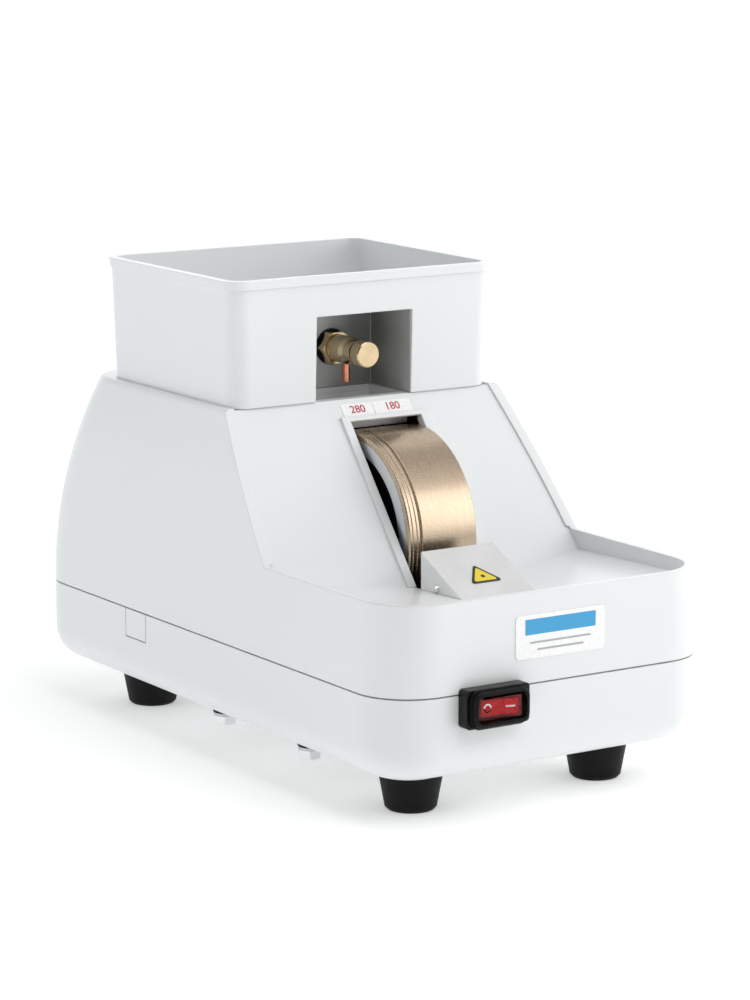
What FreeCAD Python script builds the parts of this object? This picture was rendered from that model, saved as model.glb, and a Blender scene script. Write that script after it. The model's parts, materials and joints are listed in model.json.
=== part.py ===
import FreeCAD, Part
import math
import os

from FreeCAD import Vector

# Wet grinder with a lift-out water tank. Millimetres.
# +X is right, +Y is towards the back, +Z is up; the origin is on the bench under the case's middle.

# ---------------------------------------------------------------- driving dimensions
CASE_W = 183.4          # case width at the seam
CASE_L = 335.2          # case length
CORNER_R = 27.3         # upright corners of the case, in plan
WALL = 3.0
BASE_Z = 21.5           # underside of the case
BASE_EDGE_R = 17.0      # round along the bottom edge
SEAM_Z = 62.4           # joint between lower and upper housing
SEAM_GAP = 0.35         # half of the open seam
RIM_Z = 104.9           # top of the catch tray's rim
RIM_W = 3.5
TOP_Z = 171.3           # shoulder beside the tank
SHOULDER_R = 3.5
SIDE_BOW_R = 470.0      # bow of the side walls above the seam
BACK_BOW_R = 215.0      # bow of the back wall above the seam
SLOPE_FOOT_Y = -57.2    # where the sloped face meets the rim's height
SLOPE_DEG = 50.95
RECESS = 1.0            # sloped face and tank seat lie this far below the side lips
LIP_W = 5.2
CLIP_Y = (53.0, 73.5)   # snap tabs in the side walls, under the seam
CLIP_Z = 47.7
CLIP_GAP = 0.5
LIP_FIT = 0.15          # clearance round the lower housing's inner lip

WHEEL_R = 50.0
WHEEL_Y = -11.6         # spindle axis
WHEEL_Z = 105.7
WHEEL_X0 = -11.4
WHEEL_X1 = 27.5
BAND_X = -5.0           # the fine band ends here
BAND_GAP = 1.0          # groove between the two bands
GROOVE_DEPTH = 1.5
RIM_T = 3.0             # thickness of the bonded grinding layer
WEB_R = 40.5            # inside of the wheel's rim
WEB_X = (3.0, 13.0)     # thin web between hub and rim
HUB_R = 14.0
HUB_X0 = -6.6
HUB_X1 = 25.0
FLANGE_T = 3.4
SHAFT_R = 4.0
RUN_FIT = 0.05          # radial clearance of running fits

SLOT_X0 = -14.2         # wheel opening
SLOT_X1 = 28.4
SLOT_TOP = 12.3         # down the slope from its top edge
SLOT_FRONT_Y = -96.0    # the opening runs on through the floor, under the guard
SLOT_FLOOR_X = (-11.9, 22.9)
BEZEL_SIDE = 3.6        # raised frame round the opening
BEZEL_TOP = 1.8
BEZEL_RISE = 1.6
BEZEL_T = 0.8
BEZEL_EDGE = 1.2        # land left under the opening's upper edge
RELIEF_RUN = 5.0        # how far the wedge behind that edge reaches up the slope
RELIEF_DEPTH = 9.0

GUARD_X = (-15.4, 26.4)
GUARD_BACK_Y = -77.3
GUARD_TOP_Z = 108.0
GUARD_FALL = 0.477      # drop of the top plate per millimetre towards the front
GUARD_T = 1.0
GUARD_SCREW_Y = -90.6
GUARD_SCREW_Z = 92.4
GUARD_SCREW_R = 1.25
POST_T = 2.2

NAMEPLATE = (0.6, 84.4, 49.8, 20.4)     # middle x and z, width, height
NAMEPLATE_T = 0.4
GRIT_LABEL_X = (-14.8, 3.2, 25.0)       # left end, divide and right end
GRIT_LABEL_S = (2.9, 9.9)               # down the slope
LABEL_T = 0.3
STICKER_X = 4.9
STICKER_Y = (-90.8, -103.2)
STICKER_HALF_W = 9.0
STICKER_T = 0.25

FLOOR_Z = 89.3          # tray floor beside the wheel opening, at the foot of the slope
FLOOR_RISE = 0.1075     # rise of the tray floor towards each side wall
FLOOR_TILT_DEG = 2.06   # rise of the tray floor towards the front

TANK_BOTTOM = (-73.9, 73.9, -4.1, 117.9)
TANK_TOP = (-75.5, 75.5, -5.9, 119.5)
TANK_Z = 232.3
TANK_WALL = 3.0
TANK_R = 9.0
TANK_GAP = 0.3
BAND_H = 4.5            # stiffening band round the tank's mouth
BAND_OUT = 1.0
NICHE = (-28.1, 27.1)   # valve niche in the tank's front
NICHE_Y = 32.4
NICHE_Z = 212.2

VALVE_X = 3.6
VALVE_Z = 190.9
KNOB_FACE_Y = -2.1
KNOB_R = 6.4
KNOB_BACK_Y = 5.3
KNURL_COUNT = 36
KNURL_R = 0.42
HEX_W = 15.5            # valve's hex flange, across flats
HEX_R = 9.0
WASHER_T = 1.5
TAIL_R = 4.0            # threaded tail through the tank's wall
NEEDLE_R = 1.9
DRIP_R = 2.0
DRIP_BORE_R = 1.4
DRIP_Y = 18.6
DRIP_Z = 174.9

FUNNEL = (-27.0, 26.0, 2.5, 32.2)
FUNNEL_Z = 155.0

SWITCH_X = -38.0
SWITCH_Z = 56.3
ROCKER_PIVOT_Y = -172.6
ROCKER_TILT = 9.0       # the rocker rests this far to one side
SWITCH_FLANGE = (34.5, 18.0)
SWITCH_FLANGE_T = 6.4
SWITCH_CAP = (26.6, 12.8)
SWITCH_CAP_T = 0.9
PAD_HALF = 8.85         # raised middle of the rocker's face: half its length, width and height
PAD_W = 7.2
PAD_T = 0.35

MOTOR_R = 28.0
MOTOR_X0 = -80.0
MOTOR_X1 = -30.0
MOTOR_SKIN = 1.6
BELL_CHAMFER = 2.5
STACK_X = (-70.0, -40.0)        # laminations
ROTOR_R = 16.5
STATOR_BORE_R = 17.0
WINDING_R = (18.0, 24.5)
WINDING_REACH = 6.4
BEARING_R = 8.0
BEARING_T = 5.0
PLATE_Z = 29.0          # underside of the motor's base plate
PLATE_T = 3.0
ISOLATOR_R = 6.0        # lower flange of a motor isolator
BOLT_X = (-65.0, -30.0)
BOLT_Y = (-57.0, 22.0)

FOOT_X = 52.7
FOOT_Y = (-125.1, 116.3)
FOOT_TOP_R = 15.9
FOOT_R = 12.2
SCREW_X = 66.0          # case screws
SCREW_Y = 149.0

SPLASH_X0 = -21.0
SPLASH_X1 = 39.4
SPLASH_T = 2.4
SPLASH_TABS = (-80.0, 30.0)     # screw tabs under the sump, along Y
DRAIN_X = 20.0
DRAIN_Z = 46.5
DRAIN_R = 5.0
GLAND_X = -45.0
GLAND_Z = 47.0
GLAND_BORE_R = 3.4
CAP_X = -52.0
CAP_Y = (50.0, 96.0)
CAP_Z = 52.0
CAP_R = 15.0
CLIP_BAND_Y = (66.0, 78.0)
TERM_X = (-14.0, 14.0)
TERM_Y = (108.0, 122.0)
TERM_H = 14.0
LEAD_R = 1.9
LEAD_BEND = 8.0
LEAD_Z = 32.0           # height of the leads along the floor
REACH = 12.0            # the switch in front and the spigot behind stand out this far

# ---------------------------------------------------------------- derived places
FRONT_Y = -CASE_L / 2
BACK_Y = CASE_L / 2
SLOPE = math.radians(SLOPE_DEG)
SLOPE_TAN = math.tan(SLOPE)
SEAT_Z = TOP_Z - RECESS
FLOOR_TOP = BASE_Z + WALL
NEEDLE_TIP_Y = NICHE_Y - 8.0    # the needle's tip closes the valve's seat here
SWITCH_FRONT_Y = FRONT_Y - SWITCH_FLANGE_T
PARTS = "parts"
AXIS_X = Vector(1, 0, 0)
AXIS_Y = Vector(0, 1, 0)
AXIS_Z = Vector(0, 0, 1)


# ---------------------------------------------------------------- shape helpers
def box(x0, x1, y0, y1, z0, z1):
    return Part.makeBox(x1 - x0, y1 - y0, z1 - z0, Vector(x0, y0, z0))


def cyl_x(r, x0, x1, y, z):
    return Part.makeCylinder(r, x1 - x0, Vector(x0, y, z), AXIS_X)


def cyl_y(r, y0, y1, x, z):
    return Part.makeCylinder(r, y1 - y0, Vector(x, y0, z), AXIS_Y)


def cyl_z(r, z0, z1, x, y):
    return Part.makeCylinder(r, z1 - z0, Vector(x, y, z0), AXIS_Z)


def polygon(points):
    return Part.Face(Part.makePolygon(points + [points[0]]))


def prism_x(points_yz, x0, x1):
    """Side-view outline, extruded across the case."""
    face = polygon([Vector(x0, y, z) for y, z in points_yz])
    return face.extrude(Vector(x1 - x0, 0, 0))


def prism_y(points_xz, y0, y1):
    """Front-view outline, extruded from front to back."""
    face = polygon([Vector(x, y0, z) for x, z in points_xz])
    return face.extrude(Vector(0, y1 - y0, 0))


def hex_z(across_flats, z0, z1, x, y):
    r = across_flats / math.sqrt(3)
    corners = []
    for i in range(6):
        a = math.radians(60 * i)
        corners.append(Vector(x + r * math.cos(a), y + r * math.sin(a), z0))
    return polygon(corners).extrude(Vector(0, 0, z1 - z0))


def hex_y(across_flats, y0, y1, x, z):
    nut = hex_z(across_flats, 0, y1 - y0, 0, 0)
    nut.rotate(Vector(0, 0, 0), AXIS_X, -90)
    nut.translate(Vector(x, y0, z))
    return nut


def hex_x(across_flats, x0, x1, y, z):
    nut = hex_z(across_flats, 0, x1 - x0, 0, 0)
    nut.rotate(Vector(0, 0, 0), AXIS_Y, 90)
    nut.translate(Vector(x0, y, z))
    return nut


def turned(profile):
    """Closed (height, radius) outline turned about +Z through the origin."""
    face = polygon([Vector(r, 0, h) for h, r in profile])
    return face.revolve(Vector(0, 0, 0), AXIS_Z, 360)


def turned_x(profile, y, z):
    """The same, with heights along +X, on the axis through (y, z)."""
    solid = turned(profile)
    solid.rotate(Vector(0, 0, 0), AXIS_Y, 90)
    solid.translate(Vector(0, y, z))
    return solid


def turned_y(profile, x, z):
    """The same, with heights along +Y, on the axis through (x, z)."""
    solid = turned(profile)
    solid.rotate(Vector(0, 0, 0), AXIS_X, -90)
    solid.translate(Vector(x, 0, z))
    return solid


def upright_edges(shape, min_height):
    return [e for e in shape.Edges if e.BoundBox.ZLength > min_height]


def rounded_box(x0, x1, y0, y1, z0, z1, r):
    """Box with its four upright edges rounded."""
    solid = box(x0, x1, y0, y1, z0, z1)
    return solid.makeFillet(r, upright_edges(solid, (z1 - z0) / 2))


def rounded_panel(x_mid, z_mid, width, height, y0, y1, r):
    """Plate on the front wall: its four edges along Y are rounded."""
    solid = box(x_mid - width / 2, x_mid + width / 2, y0, y1, z_mid - height / 2, z_mid + height / 2)
    edges = [e for e in solid.Edges if e.BoundBox.YLength > (y1 - y0) / 2]
    return solid.makeFillet(r, edges)


def edges_at_z(shape, z):
    return [e for e in shape.Edges if abs(e.BoundBox.ZMin - z) < 1e-4 and abs(e.BoundBox.ZMax - z) < 1e-4]


def edges_at_y(shape, y):
    return [e for e in shape.Edges if abs(e.BoundBox.YMin - y) < 1e-4 and abs(e.BoundBox.YMax - y) < 1e-4]


def mirrored_x(shape):
    return shape.mirror(Vector(0, 0, 0), AXIS_X)


def routed_tube(points, radius, bend):
    """Round tube along straight runs joined by tangent arcs of radius bend."""
    edges = []
    start = points[0]
    for before, corner, after in zip(points, points[1:], points[2:]):
        to_start = (before - corner).normalize()
        to_end = (after - corner).normalize()
        half = to_start.getAngle(to_end) / 2
        cut = bend / math.tan(half)
        p_in = corner + to_start * cut
        p_out = corner + to_end * cut
        inward = (to_start + to_end).normalize()
        p_mid = corner + inward * (bend / math.sin(half) - bend)
        edges.append(Part.LineSegment(start, p_in).toShape())
        edges.append(Part.Arc(p_in, p_mid, p_out).toShape())
        start = p_out
    edges.append(Part.LineSegment(start, points[-1]).toShape())
    section = Part.Wire(Part.Circle(points[0], points[1] - points[0], radius).toShape())
    return Part.Wire(edges).makePipeShell([section], True, True)


def save(name, shape):
    shape = shape.removeSplitter()
    shape.exportStep(os.path.join(PARTS, name + ".step"))


# ---------------------------------------------------------------- case forms
def case_form(inset, z1, top_round=0.0):
    """Upper part of the case up to z1: bowed sides and back, shrunk sideways by inset."""
    z0 = SEAM_Z - 10
    rise = z1 - SEAM_Z

    def bow(outer, bow_r):
        """Face point at the top, and half-way up, of a wall that bows in from the seam."""
        r = bow_r - inset
        centre = outer - bow_r
        top_angle = math.asin(rise / r)
        points = []
        for angle in (top_angle / 2, top_angle):
            points.append((centre + r * math.cos(angle), SEAM_Z + r * math.sin(angle)))
        return points

    back_mid, back_top = bow(BACK_Y, BACK_BOW_R)
    back = BACK_Y - inset
    front = FRONT_Y + inset
    side_view = [
        Part.makeLine(Vector(0, front, z0), Vector(0, back, z0)),
        Part.makeLine(Vector(0, back, z0), Vector(0, back, SEAM_Z)),
        Part.Arc(Vector(0, back, SEAM_Z), Vector(0, *back_mid), Vector(0, *back_top)).toShape(),
        Part.makeLine(Vector(0, *back_top), Vector(0, front, z1)),
        Part.makeLine(Vector(0, front, z1), Vector(0, front, z0)),
    ]
    side_mid, side_top = bow(CASE_W / 2, SIDE_BOW_R)
    half = CASE_W / 2 - inset

    def front_point(x, z, sign):
        return Vector(sign * x, 0, z)

    def side_arc(sign):
        ends = [front_point(half, SEAM_Z, sign), front_point(*side_mid, sign), front_point(*side_top, sign)]
        return Part.Arc(*ends).toShape()

    front_view = [
        Part.makeLine(front_point(half, z0, -1), front_point(half, z0, 1)),
        Part.makeLine(front_point(half, z0, 1), front_point(half, SEAM_Z, 1)),
        side_arc(1),
        Part.makeLine(front_point(*side_top, 1), front_point(*side_top, -1)),
        side_arc(-1),
        Part.makeLine(front_point(half, SEAM_Z, -1), front_point(half, z0, -1)),
    ]
    along = Part.Face(Part.Wire(side_view)).extrude(Vector(CASE_W, 0, 0))
    along.translate(Vector(-CASE_W / 2, 0, 0))
    across = Part.Face(Part.Wire(front_view)).extrude(Vector(0, CASE_L, 0))
    across.translate(Vector(0, FRONT_Y, 0))
    form = along.common(across)
    form = form.makeFillet(CORNER_R - inset, upright_edges(form, 2.0))
    if top_round:
        form = form.makeFillet(top_round, edges_at_z(form, z1))
    return form


def base_form(inset, z1):
    """Lower part of the case, shrunk by inset, up to height z1."""
    form = rounded_box(
        -CASE_W / 2 + inset, CASE_W / 2 - inset, FRONT_Y + inset, BACK_Y - inset,
        BASE_Z + inset, z1, CORNER_R - inset,
    )
    return form.makeFillet(BASE_EDGE_R - inset, edges_at_z(form, BASE_Z + inset))


def slope_y(z, depth):
    """Y of the plane that lies depth below the lips' slope, at height z."""
    return SLOPE_FOOT_Y + depth / math.sin(SLOPE) + (z - RIM_Z) / SLOPE_TAN


def above_slope(depth, z0=60.0, z1=260.0):
    """All space in front of and above the slope plane."""
    outline = [(slope_y(z0, depth), z0), (slope_y(z1, depth), z1), (-260.0, z1), (-260.0, z0)]
    return prism_x(outline, -120, 120)


def above_floor(depth):
    """All space above the tray's floor, which falls to the wheel opening and to the slope."""
    z0 = FLOOR_Z - depth
    reach = 110.0
    left_z = z0 + FLOOR_RISE * (SLOT_X0 + reach)
    right_z = z0 + FLOOR_RISE * (reach - SLOT_X1)
    outline = [
        (-reach, left_z), (SLOT_X0, z0), (SLOT_X1, z0), (reach, right_z), (reach, 260.0), (-reach, 260.0),
    ]
    space = prism_y(outline, -260, 40)
    space.rotate(Vector(0, slope_y(FLOOR_Z, RECESS), FLOOR_Z), AXIS_X, -FLOOR_TILT_DEG)
    return space


def sky(depth, plateau_back):
    """Everything above the recessed slope, the tray floor and the tank seat, lowered by depth."""
    front = above_slope(RECESS + depth).common(above_floor(depth))
    plateau = box(-120, 120, slope_y(SEAT_Z, RECESS) - 60, plateau_back, SEAT_Z - depth, 260)
    return front.fuse(plateau)


def slope_box(x0, x1, s0, s1, h0, h1):
    """Block on the recessed slope: s runs down the slope from its top edge, h stands off it."""
    block = box(x0, x1, -s1, -s0, h0, h1)
    block.rotate(Vector(0, 0, 0), AXIS_X, SLOPE_DEG)
    block.translate(Vector(0, slope_y(SEAT_Z, RECESS), SEAT_Z))
    return block


def slot_space(x0, x1, top, depth=14.0):
    """Wheel opening: a band through the slope that runs on through the tray floor."""
    band = slope_box(x0, x1, top, 120.0, -depth, depth)
    floor = box(*SLOT_FLOOR_X, SLOT_FRONT_Y, slope_y(FLOOR_Z, RECESS) + 6, FLOOR_Z - 8, FLOOR_Z + 8)
    return band.common(box(x0, x1, -100, 40, FLOOR_Z - 8, 200)).fuse(floor)


def slot_relief():
    """Wedge cleared behind the opening's upper edge, so that the wheel's crown shows."""
    h = BEZEL_RISE - BEZEL_EDGE
    s1 = SLOT_TOP + BEZEL_T
    s0 = s1 - RELIEF_RUN
    wedge = prism_x([(-s1, h), (-s1, h - RELIEF_DEPTH), (-s0, h - RELIEF_DEPTH)], SLOT_X0, SLOT_X1)
    wedge.rotate(Vector(0, 0, 0), AXIS_X, SLOPE_DEG)
    wedge.translate(Vector(0, slope_y(SEAT_Z, RECESS), SEAT_Z))
    return wedge


# ---------------------------------------------------------------- case
def screw_places():
    return [(sx * SCREW_X, sy * SCREW_Y) for sx in (-1, 1) for sy in (-1, 1)]


def foot_places():
    return [(sx * FOOT_X, y) for sx in (-1, 1) for y in FOOT_Y]


def clip_window():
    """Notches in the lower housing's side walls, under the seam."""
    return box(-100, 100, *CLIP_Y, CLIP_Z, SEAM_Z + 8)


def lower_housing():
    top = SEAM_Z - SEAM_GAP
    shell = base_form(0, top).cut(base_form(WALL, top + 5))
    lip = WALL + LIP_FIT
    lip_outer = rounded_box(
        -CASE_W / 2 + lip, CASE_W / 2 - lip, FRONT_Y + lip, BACK_Y - lip,
        SEAM_Z - 7, SEAM_Z + 4, CORNER_R - lip,
    )
    lip_root = rounded_box(
        -CASE_W / 2 + 2, CASE_W / 2 - 2, FRONT_Y + 2, BACK_Y - 2, SEAM_Z - 7, top, CORNER_R - 2,
    )
    lip_inner = rounded_box(
        -CASE_W / 2 + 5, CASE_W / 2 - 5, FRONT_Y + 5, BACK_Y - 5, SEAM_Z - 8, SEAM_Z + 5, CORNER_R - 5,
    )
    body = shell.fuse(lip_outer.fuse(lip_root).cut(lip_inner))
    for x, y in screw_places():
        body = body.fuse(cyl_z(5.5, FLOOR_TOP - 1, SEAM_Z - SEAM_GAP, x, y))
    for x, y in screw_places():
        body = body.cut(cyl_z(2.05, BASE_Z - 1, SEAM_Z + 1, x, y))
        body = body.cut(cyl_z(4.0, BASE_Z - 1, BASE_Z + 4.5, x, y))
    for x, y in foot_places():
        body = body.cut(cyl_z(2.55, BASE_Z - 1, FLOOR_TOP + 1, x, y))
    for x, y in splash_screw_places():
        body = body.cut(cyl_z(1.55, BASE_Z - 1, FLOOR_TOP + 1, x, y))
    for x in BOLT_X:
        for y in BOLT_Y:
            body = body.cut(cyl_z(5.05, BASE_Z - 1, FLOOR_TOP + 1, x, y))
    inner_x = CASE_W / 2 - 5.7
    body = body.cut(clip_window().cut(box(-inner_x, inner_x, 0, 100, 0, 100)))
    body = body.cut(rounded_panel(SWITCH_X, SWITCH_Z, 24.0, 9.0, FRONT_Y - 1, FRONT_Y + 7, 1.0))
    body = body.cut(cyl_y(6.05, BACK_Y - 8, BACK_Y + 1, GLAND_X, GLAND_Z))
    body = body.cut(cyl_y(DRAIN_R + 0.05, BACK_Y - 8, BACK_Y + 1, DRAIN_X, DRAIN_Z))
    return body


def upper_housing():
    body = case_form(0, TOP_Z, SHOULDER_R)
    body = body.cut(box(-120, 120, -200, 200, 0, SEAM_Z + SEAM_GAP))
    over_rim = above_slope(0).common(box(-120, 120, -200, 100, RIM_Z, 260))
    body = body.cut(over_rim)
    between_lips = case_form(LIP_W, TOP_Z + 2).common(box(-120, 120, -200, 200, RIM_Z, TOP_Z + 2))
    body = body.cut(sky(0, 60).common(between_lips))
    body = body.cut(tank_seat())
    tray = above_slope(RECESS).common(above_floor(0)).common(case_form(RIM_W, TOP_Z))
    body = body.cut(tray.common(box(-120, 120, -200, 100, 60, RIM_Z + 1)))
    cavity = case_form(WALL, TOP_Z - WALL).cut(sky(WALL, 200))
    body = body.cut(cavity)
    for x, y in screw_places():
        top = 95.8 if y < 0 else 84.0
        body = body.fuse(cyl_z(5.0, SEAM_Z + SEAM_GAP, top, x, y))
        if y > 0:
            body = body.fuse(box(x - 1.25, x + 1.25, y + 3, BACK_Y - 2.5, SEAM_Z + SEAM_GAP + 6, top))
    for x, y in screw_places():
        body = body.cut(cyl_z(2.05, SEAM_Z - 5, 80.0, x, y))
    body = body.cut(slot_space(SLOT_X0, SLOT_X1, SLOT_TOP)).cut(slot_relief())
    x0, x1, y0, y1 = FUNNEL
    body = body.cut(box(x0, x1, y0, y1, SEAT_Z - 10, TOP_Z + 1))
    return body.fuse(guard_posts())


def tank_seat():
    """The recess in the top that the tank's foot drops into."""
    x0, x1, y0, y1 = TANK_BOTTOM
    g = TANK_GAP
    return rounded_box(x0 - g, x1 + g, y0 - g, y1 + g, SEAT_Z, TOP_Z + 1, TANK_R + g)


def side_clips():
    """Snap tabs that fill the notches in the seam, one on each side."""
    outside = -CASE_W / 2
    y0 = CLIP_Y[0] + CLIP_GAP
    y1 = CLIP_Y[1] - CLIP_GAP
    face = box(outside, outside + 3.4, y0, y1, CLIP_Z + CLIP_GAP, SEAM_Z - SEAM_GAP)
    hook = box(outside + 3.4, outside + 5.4, y0 + 3.65, y1 - 3.65, CLIP_Z + 3, SEAM_Z - 1)
    left = face.fuse(hook)
    return Part.makeCompound([left, mirrored_x(left)])


def slot_frame():
    """Raised bezel on both sides and across the top of the wheel opening."""
    x0 = SLOT_X0 - BEZEL_SIDE
    x1 = SLOT_X1 + BEZEL_SIDE
    outer = slope_box(x0, x1, SLOT_TOP - BEZEL_TOP, 116.0, 0.0, BEZEL_RISE)
    collar = slope_box(SLOT_X0, SLOT_X1, SLOT_TOP, 116.0, -WALL, BEZEL_RISE)
    inner = slope_box(SLOT_X0 + BEZEL_T, SLOT_X1 - BEZEL_T, SLOT_TOP + BEZEL_T, 130.0, -20, 20)
    frame = outer.fuse(collar).cut(inner).cut(slot_relief())
    return frame.common(above_floor(-0.05))


def drip_funnel():
    """Cup under the tank niche that guides the drips on to the wheel."""
    t = 2.0
    x0, x1, y0, y1 = FUNNEL
    cup = box(x0 - t, x1 + t, y0 - t, y1 + t, FUNNEL_Z, SEAT_Z - WALL)
    cup = cup.cut(box(x0, x1, y0, y1, FUNNEL_Z + t, SEAT_Z))
    return cup.cut(rounded_box(-4, 14, 10, 24, FUNNEL_Z - 1, FUNNEL_Z + t + 1, 4))


def foot(x, y):
    h = BASE_Z
    profile = [
        (0.0, FOOT_R - 1.4), (1.4, FOOT_R), (h, FOOT_TOP_R),
        (h, 2.55), (14.0, 2.55), (14.0, 5.6), (0.0, 5.6),
    ]
    solid = turned(profile)
    solid.translate(Vector(x, y, 0))
    return solid


def screw_z(x, y, head_z0, head_z1, head_r, shank_r, top):
    """Pan screw driven upwards, with a cross recess in its head."""
    head = cyl_z(head_r, head_z0, head_z1, x, y)
    head = head.makeFillet(0.8, edges_at_z(head, head_z0))
    screw = head.fuse(cyl_z(shank_r, head_z1, top, x, y))
    for wide, deep in ((head_r * 0.9, 0.9), (0.9, head_r * 0.9)):
        arm = box(x - wide / 2, x + wide / 2, y - deep / 2, y + deep / 2, head_z0 - 1, head_z0 + 1.2)
        screw = screw.cut(arm)
    return screw


def foot_screws():
    screws = []
    for x, y in foot_places():
        screw = screw_z(x, y, 10.6, 14.0, 5.0, 2.5, FLOOR_TOP + 6)
        nut = hex_z(8.0, FLOOR_TOP, FLOOR_TOP + 4, x, y).cut(cyl_z(2.5, 0, 60, x, y))
        screws.append(screw)
        screws.append(nut)
    return Part.makeCompound(screws)


def case_screws():
    places = screw_places()
    return Part.makeCompound([screw_z(x, y, BASE_Z + 1, BASE_Z + 4.5, 3.7, 2.0, 76.0) for x, y in places])


# ---------------------------------------------------------------- labels
def nameplate():
    return rounded_panel(*NAMEPLATE, FRONT_Y - NAMEPLATE_T, FRONT_Y, 2.0)


def grit_label(x0, x1):
    return slope_box(x0, x1, *GRIT_LABEL_S, 0.0, LABEL_T)


# ---------------------------------------------------------------- guard
def guard_plate_z(y):
    return GUARD_TOP_Z + GUARD_FALL * (y - GUARD_BACK_Y)


def wheel_guard():
    """Bent sheet: sloping top plate and two triangular cheeks standing on the tray floor."""
    foot_z = FLOOR_Z + 0.6
    front_y = GUARD_BACK_Y - (GUARD_TOP_Z - FLOOR_Z - 1.6) / GUARD_FALL
    outer = prism_x([
        (GUARD_BACK_Y, foot_z), (GUARD_BACK_Y, GUARD_TOP_Z), (front_y, FLOOR_Z + 1.6), (front_y, foot_z),
    ], *GUARD_X)
    drop = GUARD_T / math.cos(math.atan(GUARD_FALL))
    back_y = GUARD_BACK_Y + 1
    inner = prism_x([
        (back_y, 60), (back_y, guard_plate_z(back_y) - drop), (-160, guard_plate_z(-160) - drop), (-160, 60),
    ], GUARD_X[0] + GUARD_T, GUARD_X[1] - GUARD_T)
    shell = outer.cut(inner)
    bends = [e for e in shell.Edges if is_guard_bend(e)]
    shell = shell.makeFillet(0.8, bends).cut(cyl_x(GUARD_SCREW_R, -60, 60, GUARD_SCREW_Y, GUARD_SCREW_Z))
    return shell.common(above_floor(-0.1))


def is_guard_bend(edge):
    """True for the two outer edges between the top plate and the cheeks."""
    span = edge.BoundBox
    at_side = span.XLength < 1e-4 and min(abs(span.XMin - GUARD_X[0]), abs(span.XMin - GUARD_X[1])) < 1e-4
    return at_side and span.YLength > 25 and span.ZLength > 10


def guard_posts():
    """Posts inside the guard's cheeks, on the tray floor beside the opening."""
    posts = []
    for x in (GUARD_X[0] + GUARD_T, GUARD_X[1] - GUARD_T - POST_T):
        post = box(x, x + POST_T, GUARD_SCREW_Y - 4, GUARD_SCREW_Y + 4, FLOOR_Z - 2, GUARD_SCREW_Z + 2.4)
        posts.append(post.cut(cyl_x(GUARD_SCREW_R, -60, 60, GUARD_SCREW_Y, GUARD_SCREW_Z)))
    return posts


def guard_screws():
    """Screws through the cheeks into the posts."""
    screws = []
    for side, cheek in ((-1, GUARD_X[0]), (1, GUARD_X[1])):
        profile = [(-POST_T, 0.0), (-POST_T, GUARD_SCREW_R), (GUARD_T, GUARD_SCREW_R), (GUARD_T, 2.0),
                   (GUARD_T + 0.9, 1.7), (GUARD_T + 1.3, 0.9), (GUARD_T + 1.3, 0.0)]
        screw = turned_x(profile, GUARD_SCREW_Y, GUARD_SCREW_Z)
        if side < 0:
            screw = mirrored_x(screw)
        screw.translate(Vector(cheek - side * GUARD_T, 0, 0))
        screws.append(screw)
    return Part.makeCompound(screws)


def warning_plate():
    """Triangular sticker on the guard's top plate."""
    y0, y1 = STICKER_Y
    corners = [(STICKER_X, y0), (STICKER_X + STICKER_HALF_W, y1), (STICKER_X - STICKER_HALF_W, y1)]
    face = polygon([Vector(x, y, guard_plate_z(y)) for x, y in corners])
    lift = Vector(0, -GUARD_FALL, 1).normalize() * STICKER_T
    plate = face.extrude(lift)
    edges = [e for e in plate.Edges if abs(e.Length - STICKER_T) < 1e-4]
    return plate.makeFillet(1.2, edges)


# ---------------------------------------------------------------- tank
def drafted_block(bottom, top, z0, z1, r, grow):
    """Block between two rounded rectangles, grown sideways by grow."""
    wires = []
    for (x0, x1, y0, y1), z in ((bottom, z0), (top, z1)):
        flat = rounded_box(x0 - grow, x1 + grow, y0 - grow, y1 + grow, z, z + 1, r + grow)
        wires.append(Part.Wire(Part.sortEdges(edges_at_z(flat, z))[0]))
    return Part.makeLoft(wires, True, True)


def water_tank():
    z0 = SEAT_Z + TANK_GAP
    outer = drafted_block(TANK_BOTTOM, TANK_TOP, z0, TANK_Z, TANK_R, 0)
    inner = drafted_block(TANK_BOTTOM, TANK_TOP, z0, TANK_Z, TANK_R, -TANK_WALL)
    inner = inner.common(box(-100, 100, -50, 150, z0 + TANK_WALL, TANK_Z + 1))
    band = drafted_block(TANK_BOTTOM, TANK_TOP, z0, TANK_Z, TANK_R, BAND_OUT)
    band = band.common(box(-100, 100, -50, 150, TANK_Z - BAND_H, TANK_Z + 1))
    body = outer.fuse(band).cut(inner)
    t = TANK_WALL
    niche_walls = box(NICHE[0] - t, NICHE[1] + t, -20, NICHE_Y + t, z0, NICHE_Z + t).common(outer)
    body = body.fuse(niche_walls)
    body = body.cut(box(NICHE[0], NICHE[1], -20, NICHE_Y, z0 - 1, NICHE_Z))
    return body.cut(cyl_y(TAIL_R + RUN_FIT, NICHE_Y - 1, NICHE_Y + t + 1, VALVE_X, VALVE_Z))


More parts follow.
